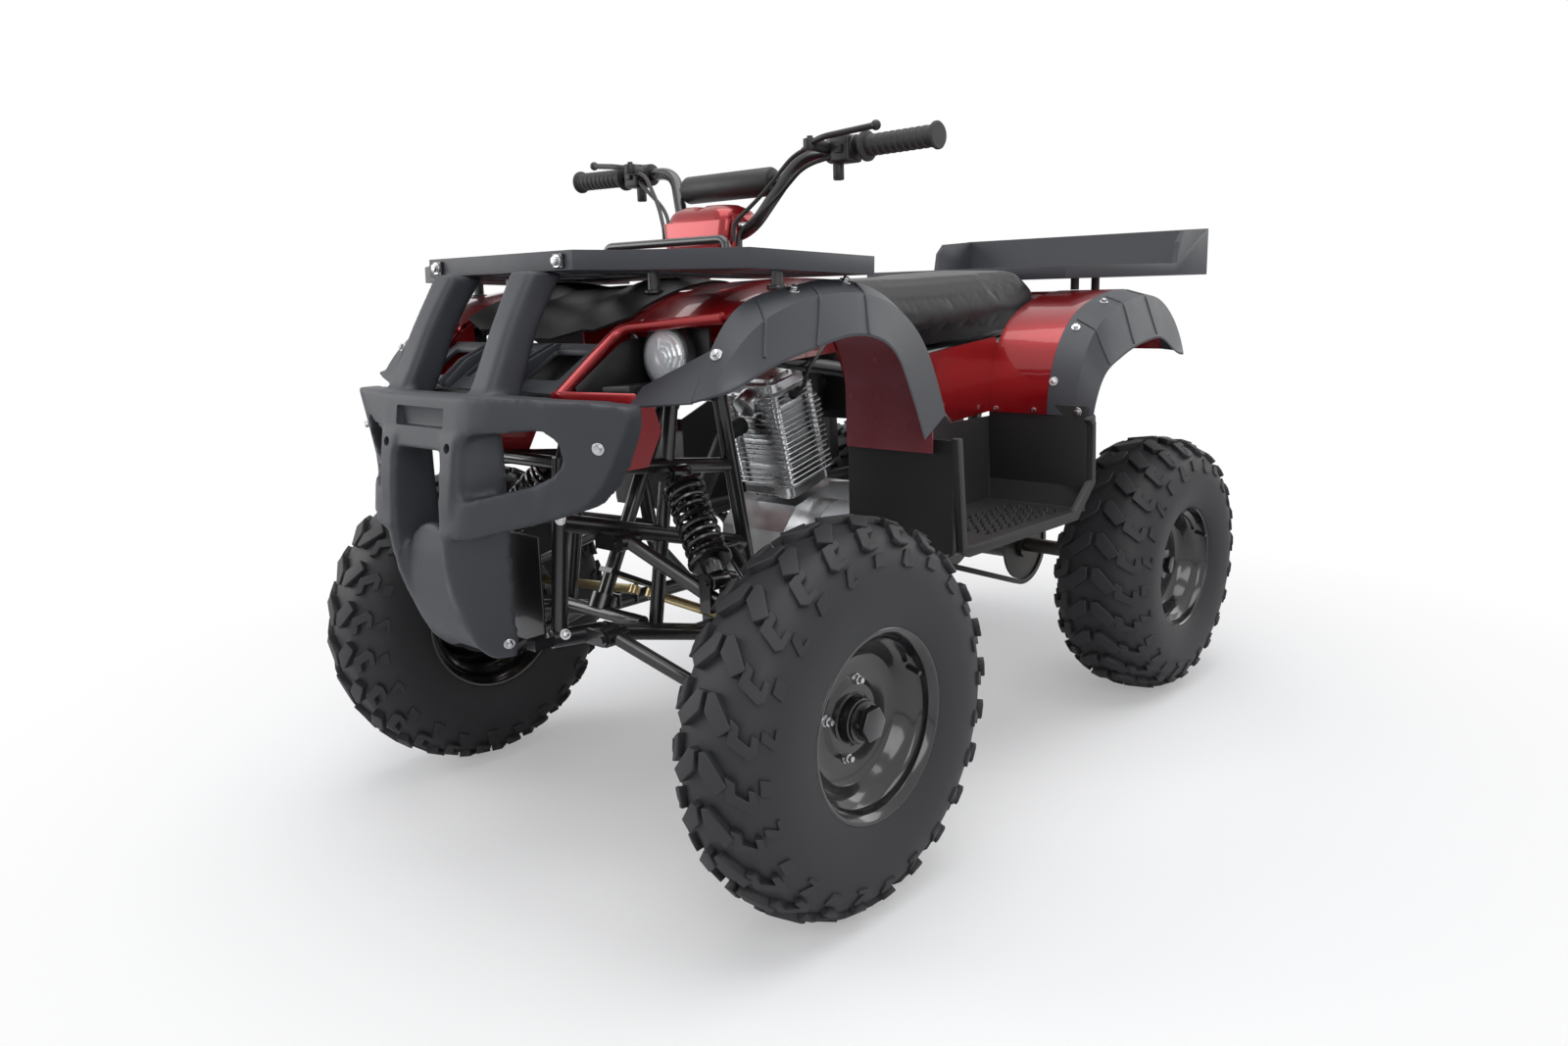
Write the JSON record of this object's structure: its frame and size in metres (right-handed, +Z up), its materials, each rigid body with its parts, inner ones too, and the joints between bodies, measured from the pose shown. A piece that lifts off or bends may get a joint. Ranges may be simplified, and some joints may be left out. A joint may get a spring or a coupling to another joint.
{
  "type": "quad bike",
  "caption": "Four-wheeled utility quad bike with balloon tyres, red fenders, front guard, front and rear racks, open engine and steering front wheels.",
  "frame": {"origin": "on the ground, below the middle of the length and width", "axes": "the rider faces -Y, +X is the rider's left, +Z is up"},
  "size_m": [1.108, 1.96, 1.1496],
  "materials": {
    "tyre_rubber": "moulded rubber",
    "wheel_black": "gloss black paint",
    "frame_black": "gloss black paint",
    "shock_black": "gloss black paint",
    "candy_red": "gloss metallic red",
    "trim_dark": "fine grained dark grey",
    "hood_black": "semi gloss black",
    "nose_grey": "matt grey",
    "well_black": "matt black",
    "seat_vinyl": "grained black vinyl",
    "engine_metal": "as cast",
    "steel": "plain steel",
    "exhaust_black": "heat-proof black",
    "black_plastic": "moulded black",
    "grip_rubber": "ribbed rubber",
    "pad_foam": "smooth covered foam",
    "lamp_lens": "clear lens",
    "tail_red": "red lens",
    "chain_steel": "oiled steel",
    "yellow_zinc": "yellow zinc plate"
  },
  "bodies": {
    "chassis": {"frame": "frame_black", "frame_bars": "frame_black", "engine_case": "engine_metal", "engine_cylinder": "engine_metal", "exhaust": "exhaust_black", "carburettor": "black_plastic", "bumper": "trim_dark", "front_rack": "trim_dark", "rear_rack": "trim_dark", "front_body": "candy_red", "hood": "hood_black", "grille": "nose_grey", "headlights": "lamp_lens", "front_flares": "trim_dark", "splash_guards": "candy_red", "tank_cover": "candy_red", "footwells": "well_black", "rear_body": "candy_red", "rear_flares": "trim_dark", "seat": "seat_vinyl", "suspension_arms": "frame_black", "front_shocks": "shock_black", "rear_shock": "shock_black", "swingarm": "frame_black", "tail_light": "tail_red", "chain": "chain_steel", "front_plate": "frame_black"},
    "steering": {"steering_stem": "frame_black", "handlebar": "frame_black", "handlebar_pad": "pad_foam", "grips": "grip_rubber", "brake_levers": "black_plastic", "steering_cover": "candy_red"},
    "knuckle_left": {"knuckle_left": "frame_black"},
    "knuckle_right": {"knuckle_right": "frame_black"},
    "tie_rod_left": {"tie_rod_left": "yellow_zinc"},
    "tie_rod_right": {"tie_rod_right": "yellow_zinc"},
    "front_wheel_left": {"front_tyre_left": "tyre_rubber", "front_rim_left": "wheel_black"},
    "front_wheel_right": {"front_tyre_right": "tyre_rubber", "front_rim_right": "wheel_black"},
    "rear_wheels": {"rear_axle": "steel", "rear_tyre_left": "tyre_rubber", "rear_tyre_right": "tyre_rubber", "rear_rim_left": "wheel_black", "rear_rim_right": "wheel_black"}
  },
  "joints": [
    {"name": "steering_turn", "type": "hinge", "parent": "chassis", "child": "steering", "pos_m": [0, -0.48696, 0.7], "axis": [0, 0.4509, 0.8926], "range_deg": [-35, 35]},
    {"name": "knuckle_left_turn", "type": "hinge", "parent": "chassis", "child": "knuckle_left", "pos_m": [0.375, -0.588, 0.3], "axis": [0, 0, 1], "range_deg": [-31, 31]},
    {"name": "tie_rod_left_swing", "type": "hinge", "parent": "steering", "child": "tie_rod_left", "pos_m": [0.022, -0.5514, 0.395], "axis": [0, 0.4509, 0.8926], "range_deg": [-39, 39]},
    {"name": "front_left_spin", "type": "hinge", "parent": "knuckle_left", "child": "front_wheel_left", "pos_m": [0.47, -0.588, 0.292], "axis": [1, 0, 0], "continuous": true},
    {"name": "knuckle_right_turn", "type": "hinge", "parent": "chassis", "child": "knuckle_right", "pos_m": [-0.375, -0.588, 0.3], "axis": [0, 0, 1], "range_deg": [-31, 31]},
    {"name": "tie_rod_right_swing", "type": "hinge", "parent": "steering", "child": "tie_rod_right", "pos_m": [-0.022, -0.5514, 0.395], "axis": [0, 0.4509, 0.8926], "range_deg": [-39, 39]},
    {"name": "front_right_spin", "type": "hinge", "parent": "knuckle_right", "child": "front_wheel_right", "pos_m": [-0.47, -0.588, 0.292], "axis": [1, 0, 0], "continuous": true},
    {"name": "rear_spin", "type": "hinge", "parent": "chassis", "child": "rear_wheels", "pos_m": [0, 0.577, 0.279], "axis": [1, 0, 0], "continuous": true}
  ],
  "couplings": [
    {"joint": "knuckle_left_turn", "follows": "steering_turn", "ratio": 0.857},
    {"joint": "tie_rod_left_swing", "follows": "steering_turn", "ratio": -1.08},
    {"joint": "knuckle_right_turn", "follows": "steering_turn", "ratio": 0.857},
    {"joint": "tie_rod_right_swing", "follows": "steering_turn", "ratio": -1.08}
  ]
}
